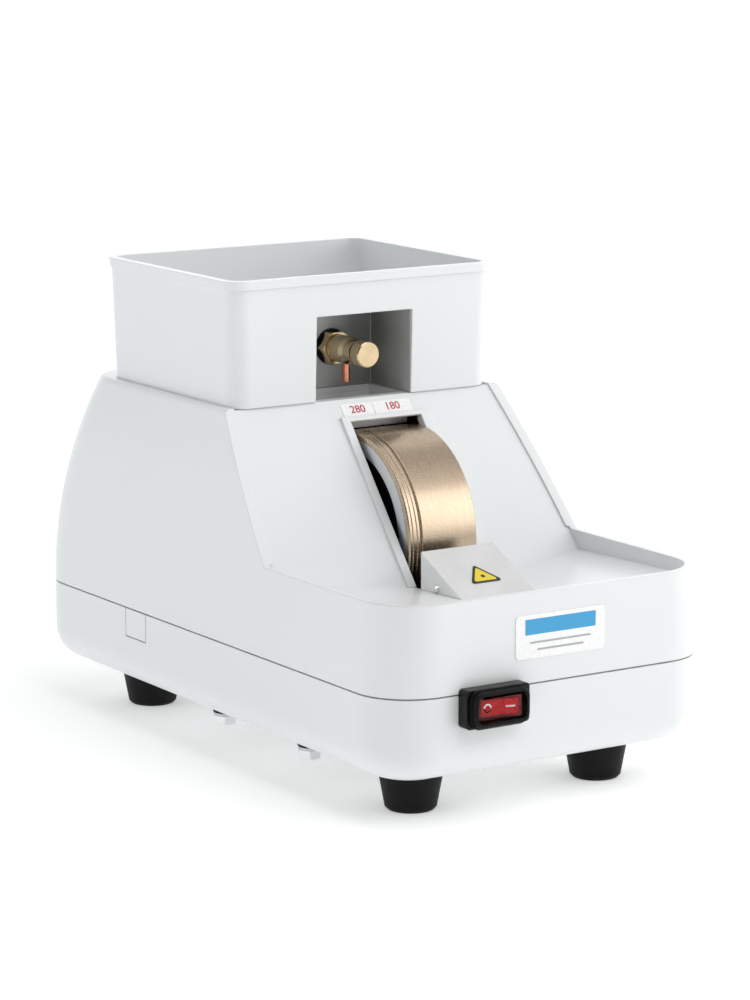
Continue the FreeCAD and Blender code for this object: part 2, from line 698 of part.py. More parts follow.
# ---------------------------------------------------------------- valve
def valve_body():
    """Hex flange, stepped barrel and threaded tail through the tank's wall."""
    flange_y = NICHE_Y - WASHER_T
    x, z = VALVE_X, VALVE_Z
    barrel = turned_y([
        (6.4, 0), (6.4, 3.4), (7.6, 4.6), (7.6, 5.4), (13.2, 5.4), (15.0, 6.9),
        (flange_y - 6.6, 6.9), (flange_y - 5.4, 6.2), (flange_y - 5.4, 0),
    ], x, z)
    nut = hex_y(HEX_W, flange_y - 5.4, flange_y, x, z)
    chamfer = turned_y([
        (0, 0), (0, 7.4), (flange_y - 6.2, 7.4), (flange_y - 4.4, HEX_R), (60, HEX_R), (60, 0),
    ], x, z)
    tail = cyl_y(TAIL_R, flange_y, NICHE_Y + TANK_WALL + 9, x, z)
    body = barrel.fuse(nut.common(chamfer)).fuse(tail)
    body = body.cut(cyl_y(NEEDLE_R + RUN_FIT, 0, NEEDLE_TIP_Y, x, z))
    body = body.cut(cyl_y(1.0, NEEDLE_TIP_Y - 1, 60, x, z))
    body = body.cut(cyl_z(DRIP_R + RUN_FIT, z - 8, z - 3.0, x, DRIP_Y))
    return body.cut(cyl_z(DRIP_BORE_R, z - 3.1, z, x, DRIP_Y))


def valve_washer():
    ring = cyl_y(HEX_R, NICHE_Y - WASHER_T, NICHE_Y, VALVE_X, VALVE_Z)
    return ring.cut(cyl_y(TAIL_R, 0, 60, VALVE_X, VALVE_Z))


def valve_locknut():
    y0 = NICHE_Y + TANK_WALL
    nut = hex_y(13.0, y0, y0 + 4.5, VALVE_X, VALVE_Z)
    return nut.cut(cyl_y(TAIL_R, y0 - 1, y0 + 10, VALVE_X, VALVE_Z))


def drip_tube():
    outer = cyl_z(DRIP_R, DRIP_Z, VALVE_Z - 3.1, VALVE_X, DRIP_Y)
    return outer.cut(cyl_z(DRIP_BORE_R, DRIP_Z - 5, VALVE_Z, VALVE_X, DRIP_Y))


def valve_needle():
    """Plain spindle with a conical tip; the knob is pinned to its front end."""
    tip = NEEDLE_TIP_Y - 0.1
    outline = [(3.4, 0), (3.4, NEEDLE_R), (tip - 2.6, NEEDLE_R), (tip, 0.6), (tip, 0)]
    return turned_y(outline, VALVE_X, VALVE_Z)


def valve_knob():
    """Knurled cap on the needle's front end."""
    y0 = KNOB_FACE_Y
    y1 = KNOB_BACK_Y
    cap = turned_y([(y0, 0), (y0, KNOB_R - 0.5), (y0 + 0.5, KNOB_R), (y1 - 0.5, KNOB_R), (y1, KNOB_R - 0.5),
                    (y1, 0)], VALVE_X, VALVE_Z)
    cap = cap.cut(cyl_y(NEEDLE_R + RUN_FIT, 3.35, y1 + 1, VALVE_X, VALVE_Z))
    grooves = []
    for i in range(KNURL_COUNT):
        a = 2 * math.pi * i / KNURL_COUNT
        x = VALVE_X + (KNOB_R + 0.18) * math.cos(a)
        z = VALVE_Z + (KNOB_R + 0.18) * math.sin(a)
        grooves.append(cyl_y(KNURL_R, y0 + 0.9, y1 + 1, x, z))
    return cap.cut(Part.makeCompound(grooves))


# ---------------------------------------------------------------- spindle and wheel
def motor_shaft():
    y, z = WHEEL_Y, WHEEL_Z
    step = SHAFT_R + 1
    return turned_x([(-84.0, 0), (-84.0, SHAFT_R), (-76.5, SHAFT_R), (-76.5, step), (-31.5, step),
                     (-31.5, SHAFT_R), (34.4, SHAFT_R), (35.0, SHAFT_R - 0.6), (35.0, 0)], y, z)


def ring_x(r_out, r_in, x0, x1):
    return turned_x([(x0, r_in), (x0, r_out), (x1, r_out), (x1, r_in)], WHEEL_Y, WHEEL_Z)


def slinger_disc():
    return ring_x(WEB_R - 0.4, SHAFT_R, -9.0, HUB_X0)


def wheel_flanges():
    inner = ring_x(HUB_R, SHAFT_R, -9.0 - FLANGE_T, -9.0)
    outer = ring_x(HUB_R, SHAFT_R, HUB_X1, HUB_X1 + FLANGE_T)
    return Part.makeCompound([inner, outer])


def wheel_core():
    """Aluminium core: rim land, thin web and hub, with a rib between the two bands."""
    layer = WHEEL_R - RIM_T
    x0, x1 = WHEEL_X0, WHEEL_X1
    web0, web1 = WEB_X
    groove = WHEEL_R - GROOVE_DEPTH
    return turned_x([
        (HUB_X0, SHAFT_R), (HUB_X0, HUB_R), (web0, HUB_R), (web0, WEB_R), (x0, WEB_R), (x0, layer),
        (BAND_X, layer), (BAND_X, groove), (BAND_X + BAND_GAP, groove), (BAND_X + BAND_GAP, layer),
        (x1, layer), (x1, WEB_R), (web1, WEB_R), (web1, HUB_R), (HUB_X1, HUB_R), (HUB_X1, SHAFT_R),
    ], WHEEL_Y, WHEEL_Z)


def wheel_band_fine():
    """Narrow band with two shallow grooves."""
    r = WHEEL_R
    deep = r - 0.35
    return turned_x([
        (WHEEL_X0, r - RIM_T), (WHEEL_X0, r - 0.6), (WHEEL_X0 + 0.6, r), (-9.6, r), (-9.3, deep), (-9.0, r),
        (-7.2, r), (-6.9, deep), (-6.6, r), (BAND_X - 0.3, r), (BAND_X, r - 0.3), (BAND_X, r - RIM_T),
    ], WHEEL_Y, WHEEL_Z)


def wheel_band_coarse():
    r = WHEEL_R
    x0 = BAND_X + BAND_GAP
    return turned_x([
        (x0, r - RIM_T), (x0, r - 0.3), (x0 + 0.3, r), (WHEEL_X1 - 0.6, r), (WHEEL_X1, r - 0.6),
        (WHEEL_X1, r - RIM_T),
    ], WHEEL_Y, WHEEL_Z)


def wheel_nut():
    nut = hex_x(13.0, HUB_X1 + FLANGE_T, HUB_X1 + FLANGE_T + 5, WHEEL_Y, WHEEL_Z)
    return nut.cut(cyl_x(SHAFT_R, 0, 50, WHEEL_Y, WHEEL_Z))


def rotor_core():
    return ring_x(ROTOR_R, SHAFT_R + 1, *STACK_X)


# ---------------------------------------------------------------- motor
def motor_case():
    return ring_x(MOTOR_R, MOTOR_R - MOTOR_SKIN, MOTOR_X0, MOTOR_X1)


def end_bell(outer_x, inner_x, seat0, seat1, boss0, boss1):
    """Cast end plate, chamfered outside, with a boss round its bearing seat."""
    r_in = SHAFT_R + 1.5
    step = math.copysign(BELL_CHAMFER, inner_x - outer_x)
    plate = turned_x([
        (outer_x, r_in), (outer_x, MOTOR_R - BELL_CHAMFER), (outer_x + step, MOTOR_R),
        (inner_x, MOTOR_R), (inner_x, r_in),
    ], WHEEL_Y, WHEEL_Z)
    plate = plate.fuse(ring_x(11.0, r_in, boss0, boss1))
    return plate.cut(cyl_x(BEARING_R, seat0, seat1, WHEEL_Y, WHEEL_Z))


def end_bell_rear():
    return end_bell(-83.4, MOTOR_X0, -82.0, -70.0, -83.4, -77.0)


def end_bell_front():
    return end_bell(-26.0, MOTOR_X1, -40.0, -25.0, -33.0, -24.0)


def bearing(x0):
    """Ball bearing as two races and a cage ring in one piece."""
    r_in = SHAFT_R + RUN_FIT
    x1 = x0 + BEARING_T
    return turned_x([
        (x0, r_in), (x0, 5.4), (x0 + 0.5, 5.4), (x0 + 0.5, 6.6), (x0, 6.6), (x0, BEARING_R),
        (x1, BEARING_R), (x1, 6.6), (x1 - 0.5, 6.6), (x1 - 0.5, 5.4), (x1, 5.4), (x1, r_in),
    ], WHEEL_Y, WHEEL_Z)


def stator_core():
    return ring_x(MOTOR_R - MOTOR_SKIN, STATOR_BORE_R, *STACK_X)


def stator_windings():
    r_in, r_out = WINDING_R
    x0, x1 = STACK_X
    ends = [ring_x(r_out, r_in, x0 - WINDING_REACH, x0), ring_x(r_out, r_in, x1, x1 + WINDING_REACH)]
    return Part.makeCompound(ends)


def motor_bracket():
    """Base plate with a face plate in front of the motor and a saddle under its back end."""
    y, z = WHEEL_Y, WHEEL_Z
    top = PLATE_Z + PLATE_T
    base = rounded_box(-75.0, -22.6, BOLT_Y[0] - 9, BOLT_Y[1] + 9, PLATE_Z, top, 6)
    face = box(-26.0, -23.2, y - 26, y + 26, top, z).fuse(cyl_x(MOTOR_R, -26.0, -23.2, y, z))
    face = face.cut(cyl_x(11.05, -40, 0, y, z))
    saddle = box(-76.0, -73.0, y - 24, y + 24, top, z - 8).cut(cyl_x(MOTOR_R, -90, -60, y, z))
    bracket = base.fuse(face).fuse(saddle)
    for side in (-1, 1):
        edge = y + side * 22
        web = prism_y([(-26.0, top), (-44.0, top), (-26.0, top + 31)], edge - 1.5, edge + 1.5)
        bracket = bracket.fuse(web)
    for x in BOLT_X:
        for y_bolt in BOLT_Y:
            bracket = bracket.cut(cyl_z(3.05, PLATE_Z - 1, top + 1, x, y_bolt))
    return bracket


def at_bolts(make):
    return Part.makeCompound([make(x, y) for x in BOLT_X for y in BOLT_Y])


def isolator(x, y):
    solid = turned([
        (16.2, 3.05), (16.2, 5.5), (16.8, ISOLATOR_R), (BASE_Z, ISOLATOR_R), (BASE_Z, 5.0),
        (FLOOR_TOP, 5.0), (FLOOR_TOP, 7.8), (PLATE_Z, 7.8), (PLATE_Z, 3.05),
    ])
    solid.translate(Vector(x, y, 0))
    return solid


def mount_bolt(x, y):
    crown = cyl_z(5.7, 10.4, 14.8, x, y)
    crown = crown.makeFillet(0.7, edges_at_z(crown, 10.4))
    head = hex_z(10.0, 10.4, 14.8, x, y).common(crown)
    return head.fuse(cyl_z(3.0, 14.8, 40.0, x, y))


def mount_washer(x, y):
    return cyl_z(5.6, 14.8, 16.2, x, y).cut(cyl_z(3.0, 10, 20, x, y))


def mount_nut(x, y):
    top = PLATE_Z + PLATE_T
    return hex_z(10.0, top, top + 5, x, y).cut(cyl_z(3.0, 20, 50, x, y))


# ---------------------------------------------------------------- water path
def splash_outline(inset):
    """Side view of the sump round the wheel, shrunk by inset."""
    gap = 0.6
    top = FUNNEL_Z - 0.6
    roof = FLOOR_Z - WALL - 0.6
    points = [(-98.0, 56.0), (-98.0, roof), (slope_y(roof, RECESS + WALL) + gap, roof),
              (slope_y(top, RECESS + WALL) + gap, top), (45.0, top), (45.0, 40.0)]
    face = polygon([Vector(0, y, z) for y, z in points])
    if inset:
        face = face.makeOffset2D(-inset, 2)
    return face


def splash_housing():
    """Sump box round the wheel, open towards the slot and the funnel, with a drain nipple."""
    outer = splash_outline(0).extrude(Vector(SPLASH_X1 - SPLASH_X0, 0, 0))
    outer.translate(Vector(SPLASH_X0, 0, 0))
    inner = splash_outline(SPLASH_T).extrude(Vector(SPLASH_X1 - SPLASH_X0 - 2 * SPLASH_T, 0, 0))
    inner.translate(Vector(SPLASH_X0 + SPLASH_T, 0, 0))
    body = outer.cut(inner)
    body = body.cut(slot_space(SLOT_X0, SLOT_X1, SLOT_TOP, 22.0))
    body = body.cut(box(SLOT_X0, SLOT_X1, WHEEL_Y, 28, FUNNEL_Z - 6, FUNNEL_Z + 1))
    body = body.fuse(cyl_y(DRAIN_R, 44, 60, DRAIN_X, DRAIN_Z))
    body = body.cut(cyl_y(DRAIN_R - 1.5, 40, 61, DRAIN_X, DRAIN_Z))
    for y in SPLASH_TABS:
        for x0, x1 in ((SPLASH_X0 + 2, SPLASH_X0 + 14), (SPLASH_X1 - 14, SPLASH_X1 - 2)):
            body = body.fuse(box(x0, x1, y - 6, y + 6, FLOOR_TOP, 60).cut(inner))
    body = body.cut(inner)
    for x, y in splash_screw_places():
        body = body.cut(cyl_z(1.55, 0, 44, x, y))
    return body.cut(cyl_x(9.0, SPLASH_X0 - 1, SPLASH_X0 + 4, WHEEL_Y, WHEEL_Z))


def splash_screw_places():
    return [(x, y) for x in (SPLASH_X0 + 8, SPLASH_X1 - 8) for y in SPLASH_TABS]


def splash_screws():
    places = splash_screw_places()
    return Part.makeCompound([screw_z(x, y, BASE_Z - 2.2, BASE_Z, 3.2, 1.5, 40.0) for x, y in places])


def shaft_seal():
    """Lip seal where the shaft enters the sump."""
    r_in = SHAFT_R + RUN_FIT
    x0 = SPLASH_X0 - 1.8
    x1 = SPLASH_X0 + SPLASH_T
    return turned_x([(x0, r_in), (x0, 11.0), (SPLASH_X0, 11.0), (SPLASH_X0, 9.0), (x1, 9.0), (x1, r_in)],
                    WHEEL_Y, WHEEL_Z)


def drain_spigot():
    """Bulkhead fitting in the back wall: hose tail outside, nipple inside, nut behind the wall."""
    y_out = BACK_Y + REACH
    nut_y = BACK_Y - WALL - 0.4
    return turned_y([
        (148.0, DRAIN_R - 1.5), (148.0, DRAIN_R), (nut_y - 4, DRAIN_R), (nut_y - 4, 8.5),
        (nut_y, 8.5), (nut_y, DRAIN_R), (BACK_Y, DRAIN_R), (BACK_Y, 8.5), (BACK_Y + 2.4, 8.5),
        (BACK_Y + 2.4, DRAIN_R), (y_out, DRAIN_R), (y_out, DRAIN_R - 1.5),
    ], DRAIN_X, DRAIN_Z)


def drain_hose():
    outline = [(47.0, DRAIN_R), (47.0, DRAIN_R + 1.8), (158.0, DRAIN_R + 1.8), (158.0, DRAIN_R)]
    return turned_y(outline, DRAIN_X, DRAIN_Z)


# ---------------------------------------------------------------- electrics
def switch_plate():
    plate = rounded_panel(SWITCH_X, SWITCH_Z, *SWITCH_FLANGE, SWITCH_FRONT_Y, FRONT_Y, 2.0)
    return plate.cut(rounded_panel(SWITCH_X, SWITCH_Z, 26.8, 12.4, FRONT_Y - 9, FRONT_Y + 1, 1.0))


def switch_boot():
    """Rubber rim that clamps the clear cap, in two steps."""
    y0 = SWITCH_FRONT_Y
    rim = rounded_panel(SWITCH_X, SWITCH_Z, 31.6, 18.4, y0 - 1.6, y0, 5.0)
    bead = rounded_panel(SWITCH_X, SWITCH_Z, 30.2, 16.8, y0 - 4.2, y0 - 1.6, 4.6)
    bead = bead.makeFillet(1.2, edges_at_y(bead, y0 - 4.2))
    return rim.fuse(bead).cut(rounded_panel(SWITCH_X, SWITCH_Z, *SWITCH_CAP, y0 - 9, y0 + 1, 3.0))


def switch_cap():
    """Clear soft cap over the rocker."""
    y0 = FRONT_Y - REACH
    width, height = SWITCH_CAP
    t = SWITCH_CAP_T
    outer = rounded_panel(SWITCH_X, SWITCH_Z, width, height, y0, SWITCH_FRONT_Y, 3.0)
    outer = outer.makeFillet(1.6, edges_at_y(outer, y0))
    inner = rounded_panel(SWITCH_X, SWITCH_Z, width - 2 * t, height - 2 * t, y0 + t, SWITCH_FRONT_Y + 1, 2.2)
    return outer.cut(inner)


def switch_body():
    """Snap-in switch case with a pocket for the rocker and four blades behind."""
    x, z = SWITCH_X, SWITCH_Z
    front = SWITCH_FRONT_Y
    body = rounded_panel(x, z, 26.6, 12.2, front, FRONT_Y - 0.2, 1.0)
    body = body.fuse(rounded_panel(x, z, 23.9, 8.9, FRONT_Y - 1, FRONT_Y + 20, 1.0))
    body = body.cut(rounded_panel(x, z, 24.4, 10.2, front - 1, FRONT_Y - 0.5, 0.8))
    body = body.cut(cyl_z(1.05, z - 5.6, z + 5.6, x, ROCKER_PIVOT_Y))
    for dx in (-8, 8):
        for dz in (-2.2, 2.2):
            body = body.fuse(blade(x + dx, FRONT_Y + 19, z + dz))
    return body


def blade(x, y, z):
    """Flat push-on terminal that points backwards."""
    return box(x - 2.4, x + 2.4, y, y + 8, z - 0.4, z + 0.4)


def switch_rocker():
    """Rocker in its off place: one end pressed in."""
    half = 11.0
    outline = [(-half, 1.0), (-half, -3.2), (0, -1.7), (half, -3.2), (half, 1.0), (4.0, 3.4), (-4.0, 3.4)]
    face = polygon([Vector(u, v, -4.85) for u, v in outline])
    rocker = face.extrude(Vector(0, 0, 9.7))
    end_v = -1.7 - 1.5 * PAD_HALF / half
    raised = [(-PAD_HALF, end_v + 0.5), (-PAD_HALF, end_v - PAD_T), (0, -1.7 - PAD_T),
              (PAD_HALF, end_v - PAD_T), (PAD_HALF, end_v + 0.5), (0, -1.2)]
    pad = polygon([Vector(u, v, -PAD_W / 2) for u, v in raised]).extrude(Vector(0, 0, PAD_W))
    rocker = rocker.fuse(pad).fuse(cyl_z(1.0, -5.5, 5.5, 0, 0))
    rocker.rotate(Vector(0, 0, 0), AXIS_Z, -ROCKER_TILT)
    rocker.translate(Vector(SWITCH_X, ROCKER_PIVOT_Y, SWITCH_Z))
    return rocker


def cable_gland():
    """Hex gland with a domed nut outside and a locknut inside; its bore is empty."""
    y0 = BACK_Y
    hexagon = hex_y(17.0, y0, y0 + 4.0, GLAND_X, GLAND_Z)
    dome = turned_y([(y0 + 4, 0), (y0 + 4, 8.0), (y0 + 8, 7.6), (y0 + REACH - 1, 5.6), (y0 + REACH - 1, 0)],
                    GLAND_X, GLAND_Z)
    tail = cyl_y(6.0, y0 - WALL - 7, y0, GLAND_X, GLAND_Z)
    nut = hex_y(15.0, y0 - WALL - 4.2, y0 - WALL - 0.2, GLAND_X, GLAND_Z)
    gland = hexagon.fuse(dome).fuse(tail).fuse(nut)
    return gland.cut(cyl_y(GLAND_BORE_R, y0 - 30, y0 + 30, GLAND_X, GLAND_Z))


def capacitor():
    can = cyl_y(CAP_R, CAP_Y[0], CAP_Y[1], CAP_X, CAP_Z)
    can = can.makeFillet(2.0, edges_at_y(can, CAP_Y[0]))
    for dx in (-6, 6):
        can = can.fuse(blade(CAP_X + dx, CAP_Y[1], CAP_Z))
    return can


def capacitor_clip():
    """Band round the capacitor on a stand screwed to the floor."""
    y0, y1 = CLIP_BAND_Y
    band = cyl_y(CAP_R + 1.5, y0, y1, CAP_X, CAP_Z)
    stand = box(CAP_X - 8, CAP_X + 8, y0, y1, FLOOR_TOP, CAP_Z)
    return band.fuse(stand).cut(cyl_y(CAP_R, 0, 200, CAP_X, CAP_Z))


def terminal_block():
    """Three-way screw terminal on the base floor."""
    x0, x1 = TERM_X
    y0, y1 = TERM_Y
    top = FLOOR_TOP + TERM_H
    block = box(x0, x1, y0, y1, FLOOR_TOP, top)
    pitch = (x1 - x0) / 3
    for i in range(3):
        x = x0 + pitch * (i + 0.5)
        block = block.cut(cyl_y(2.2, y0 - 1, y1 + 1, x, LEAD_Z))
        for y in (y0 + 3.5, y1 - 3.5):
            block = block.cut(cyl_z(2.0, top - 5, top + 1, x, y))
    return block


def switch_leads():
    """Sleeved pair from the switch back to the terminal block, along the right side of the floor."""
    x = TERM_X[1] - (TERM_X[1] - TERM_X[0]) / 6
    start_x = SWITCH_X + 8
    turn_y = FRONT_Y + 45
    route = [
        Vector(start_x, FRONT_Y + 27, SWITCH_Z), Vector(start_x, turn_y, SWITCH_Z),
        Vector(62, turn_y, 40), Vector(62, 84, LEAD_Z), Vector(x, 84, LEAD_Z), Vector(x, TERM_Y[0], LEAD_Z),
    ]
    return routed_tube(route, LEAD_R, LEAD_BEND)


def motor_leads():
    """Sleeved leads from the motor's back end to the terminal block."""
    x = TERM_X[0] + (TERM_X[1] - TERM_X[0]) / 6
    route = [
        Vector(-58, WHEEL_Y + MOTOR_R, WHEEL_Z), Vector(-58, 40, WHEEL_Z), Vector(-30, 66, 70),
        Vector(x, 86, LEAD_Z), Vector(x, TERM_Y[0], LEAD_Z),
    ]
    return routed_tube(route, LEAD_R, LEAD_BEND)


# ---------------------------------------------------------------- all sub-parts
def main():
    os.makedirs(PARTS, exist_ok=True)
    save("lower_housing", lower_housing())
    save("upper_housing", upper_housing())
    save("side_clips", side_clips())
    save("case_screws", case_screws())
    names = ("front_left", "rear_left", "front_right", "rear_right")
    for name, (x, y) in zip(names, foot_places()):
        save("foot_" + name, foot(x, y))
    save("foot_screws", foot_screws())
    save("slot_frame", slot_frame())
    save("drip_funnel", drip_funnel())
    save("nameplate", nameplate())
    x0, divide, x1 = GRIT_LABEL_X
    save("grit_label_fine", grit_label(x0, divide - 0.2))
    save("grit_label_coarse", grit_label(divide + 0.2, x1))
    save("wheel_guard", wheel_guard())
    save("guard_screws", guard_screws())
    save("warning_plate", warning_plate())

    save("water_tank", water_tank())
    save("valve_washer", valve_washer())
    save("valve_body", valve_body())
    save("valve_locknut", valve_locknut())
    save("drip_tube", drip_tube())
    save("valve_needle", valve_needle())
    save("valve_knob", valve_knob())

    save("motor_shaft", motor_shaft())
    save("rotor_core", rotor_core())
    save("slinger_disc", slinger_disc())
    save("wheel_flanges", wheel_flanges())
    save("wheel_core", wheel_core())
    save("wheel_band_fine", wheel_band_fine())
    save("wheel_band_coarse", wheel_band_coarse())
    save("wheel_nut", wheel_nut())

    save("motor_case", motor_case())
    save("end_bell_rear", end_bell_rear())
    save("end_bell_front", end_bell_front())
    save("bearing_rear", bearing(-82.0))
    save("bearing_front", bearing(-30.0))
    save("stator_core", stator_core())
    save("stator_windings", stator_windings())
    save("motor_bracket", motor_bracket())
    save("motor_isolators", at_bolts(isolator))
    save("motor_bolts", at_bolts(mount_bolt))
    save("motor_washers", at_bolts(mount_washer))
    save("motor_nuts", at_bolts(mount_nut))

    save("splash_housing", splash_housing())
    save("splash_screws", splash_screws())
    save("shaft_seal", shaft_seal())
    save("drain_hose", drain_hose())
    save("drain_spigot", drain_spigot())

    save("switch_plate", switch_plate())
    save("switch_boot", switch_boot())
    save("switch_cap", switch_cap())
    save("switch_body", switch_body())
    save("switch_rocker", switch_rocker())
    save("cable_gland", cable_gland())
    save("capacitor", capacitor())
    save("capacitor_clip", capacitor_clip())
    save("terminal_block", terminal_block())
    save("switch_leads", switch_leads())
    save("motor_leads", motor_leads())


main()
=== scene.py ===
import json
import math

import bmesh
import bpy
from mathutils import Matrix, Vector
from mathutils.bvhtree import BVHTree


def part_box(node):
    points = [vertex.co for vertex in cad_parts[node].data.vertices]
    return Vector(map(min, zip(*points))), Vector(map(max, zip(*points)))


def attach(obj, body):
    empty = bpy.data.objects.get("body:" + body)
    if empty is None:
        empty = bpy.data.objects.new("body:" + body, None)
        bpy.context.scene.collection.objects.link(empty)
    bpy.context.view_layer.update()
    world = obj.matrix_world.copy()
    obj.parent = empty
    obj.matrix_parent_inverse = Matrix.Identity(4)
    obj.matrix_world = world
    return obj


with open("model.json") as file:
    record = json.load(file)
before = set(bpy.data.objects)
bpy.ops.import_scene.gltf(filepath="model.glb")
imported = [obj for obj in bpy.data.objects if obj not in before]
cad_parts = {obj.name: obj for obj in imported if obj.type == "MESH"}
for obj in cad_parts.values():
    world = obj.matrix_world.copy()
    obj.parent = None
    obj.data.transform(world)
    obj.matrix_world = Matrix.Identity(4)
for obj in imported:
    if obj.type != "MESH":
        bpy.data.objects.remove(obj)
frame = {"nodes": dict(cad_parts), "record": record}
bpy.context.view_layer.update()
nodes = frame["nodes"]
scene = bpy.context.scene

# ---------------------------------------------------------------- colours (linear)
PLASTIC = (0.798, 0.815, 0.820)
RUBBER = (0.0055, 0.0060, 0.0058)
BLACK = (0.0040, 0.0042, 0.0042)
ZINC = (0.55, 0.56, 0.575)
CHROME = (0.80, 0.80, 0.81)
STAINLESS = (0.86, 0.86, 0.85)
STEEL = (0.52, 0.53, 0.54)
ALUMINIUM = (0.79, 0.81, 0.84)
BRONZE = (0.58, 0.455, 0.335)
BRASS = (0.68, 0.53, 0.33)
COPPER = (0.60, 0.24, 0.15)
RED = (0.46, 0.004, 0.007)
# painted dark red: shade round the rocker's raised middle, and the rocker's reflection on the
# switch body's front
PAINTED_DARK_RED = (0.16, 0.005, 0.008)
PRINT_RED = (0.50, 0.018, 0.040)
PRINT_BLUE = (0.045, 0.36, 0.66)
PRINT_GREY = (0.42, 0.44, 0.46)
YELLOW = (0.87, 0.66, 0.030)
WHITE = (0.93, 0.93, 0.93)
NICHE_DARK = (0.085, 0.090, 0.072)
MOTOR_PAINT = (0.10, 0.11, 0.12)
HOSE = (0.03, 0.032, 0.034)
SLEEVE = (0.045, 0.05, 0.055)
PRINT_BLACK = (0.012, 0.012, 0.011)

# ---------------------------------------------------------------- camera
CAMERA_AT = Vector((-0.94546, -1.47352, 0.45393))
CAMERA_LOOKS = Vector((0.53384904, 0.82442037, -0.18797939))
LENS = 130.55
SENSOR = 36.0


def make_camera():
    data = bpy.data.cameras.new("camera")
    data.sensor_fit = "AUTO"
    data.sensor_width = SENSOR
    data.lens = LENS
    data.clip_start = 0.05
    data.clip_end = 100.0
    camera = bpy.data.objects.new("camera", data)
    scene.collection.objects.link(camera)
    camera.location = CAMERA_AT
    camera.rotation_mode = "QUATERNION"
    camera.rotation_quaternion = CAMERA_LOOKS.to_track_quat("-Z", "Y")
    scene.camera = camera


# ---------------------------------------------------------------- light and floor
TARGET = Vector((0.0, 0.0, 0.10))
SKY_EVEN = 0.02
SKY_COLOUR = (0.985, 0.995, 1.0, 1.0)
# soft broad parts of the surroundings: azimuth, elevation, sharpness, strength
SKY = {
    "left": (-115.0, 12.0, 3.0, 1.02),
    "right": (55.0, 12.0, 3.0, 1.48),
    "back": (150.0, 12.0, 3.0, 1.45),
}
# name: azimuth, elevation, distance, width, height, watts
SOFTBOXES = {
    "key_right": (42.0, 22.0, 1.0, 0.45, 0.60, 1.0),
    "side_right": (80.0, 15.0, 0.8, 0.4, 0.5, 0.6),
    "side_left": (-112.0, 12.0, 2.0, 1.0, 1.2, 3.1),
    "top": (10.0, 80.0, 1.6, 1.2, 1.2, 8.6),
    "front_high": (-5.0, 46.0, 1.6, 0.8, 0.8, 3.8),
}
PLAIN_LIGHT = (1.0, 1.0, 1.0)
TINTS = {"side_left": (0.86, 0.95, 1.0), "key_right": (1.0, 0.99, 0.97)}
FLOOR_RADIUS = 30.0
FLOOR_TONES = ((0.88, 0.88, 0.88), (0.90, 0.90, 0.90))
# the floor glows a little, and more away from the object
GLOW_NEAR = 0.31
GLOW_FAR = 0.72
GLOW_FROM = 0.6
GLOW_TO = 2.5


def toward(azimuth, elevation):
    """Direction from the object; azimuth 0 is its front, and 90 its right-hand side."""
    a = math.radians(azimuth)
    e = math.radians(elevation)
    return Vector((math.sin(a) * math.cos(e), -math.cos(a) * math.cos(e), math.sin(e)))


def make_sky():
    world = bpy.data.worlds.new("studio")
    world.use_nodes = True
    tree = world.node_tree
    looks = tree.nodes.new("ShaderNodeTexCoord").outputs["Generated"]
    total = None
    for azimuth, elevation, sharp, strength in SKY.values():
        facing_it = tree.nodes.new("ShaderNodeVectorMath")
        facing_it.operation = "DOT_PRODUCT"
        tree.links.new(looks, facing_it.inputs[0])
        facing_it.inputs[1].default_value = toward(azimuth, elevation)
        half = tree.nodes.new("ShaderNodeMath")
        half.operation = "MAXIMUM"
        tree.links.new(facing_it.outputs["Value"], half.inputs[0])
        half.inputs[1].default_value = 0.0
        lobe = tree.nodes.new("ShaderNodeMath")
        lobe.operation = "POWER"
        tree.links.new(half.outputs[0], lobe.inputs[0])
        lobe.inputs[1].default_value = sharp
        scaled = tree.nodes.new("ShaderNodeMath")
        scaled.operation = "MULTIPLY_ADD"
        tree.links.new(lobe.outputs[0], scaled.inputs[0])
        scaled.inputs[1].default_value = strength
        scaled.inputs[2].default_value = SKY_EVEN
        if total:
            tree.links.new(total, scaled.inputs[2])
        total = scaled.outputs[0]
    background = tree.nodes["Background"]
    background.inputs["Color"].default_value = SKY_COLOUR
    tree.links.new(total, background.inputs["Strength"])
    scene.world = world


def make_lights():
    for name, (azimuth, elevation, distance, width, height, watts) in SOFTBOXES.items():
        data = bpy.data.lights.new(name, "AREA")
        data.shape = "RECTANGLE"
        data.size = width
        data.size_y = height
        data.energy = watts
        data.color = TINTS.get(name, PLAIN_LIGHT)
        light = bpy.data.objects.new(name, data)
        scene.collection.objects.link(light)
        back = toward(azimuth, elevation)
        light.location = TARGET + back * distance
        light.rotation_mode = "QUATERNION"
        light.rotation_quaternion = (-back).to_track_quat("-Z", "Y")
        light.visible_camera = False


def make_floor():
    mesh = bpy.data.meshes.new("floor")
    shape = bmesh.new()
    bmesh.ops.create_circle(shape, cap_ends=True, radius=FLOOR_RADIUS, segments=96)
    shape.to_mesh(mesh)
    shape.free()
    floor = bpy.data.objects.new("floor", mesh)
    scene.collection.objects.link(floor)
    g = Graph("floor_white")
    g.set("Roughness", 0.8)
    g.set("Specular IOR Level", 0.1)
    g.set("Emission Color", (1.0, 1.0, 1.0, 1.0))
    x, y, _ = g.node("ShaderNodeSeparateXYZ", {0: g.at}).outputs
    reach = g.math("SQRT", g.math("ADD", g.math("MULTIPLY", x, x), g.math("MULTIPLY", y, y)))
    g.set("Emission Strength", g.ranged(reach, GLOW_NEAR, GLOW_FAR, GLOW_FROM, GLOW_TO))
    g.colour(g.between(g.noise(3.0), *FLOOR_TONES))
    mesh.materials.append(g.material)


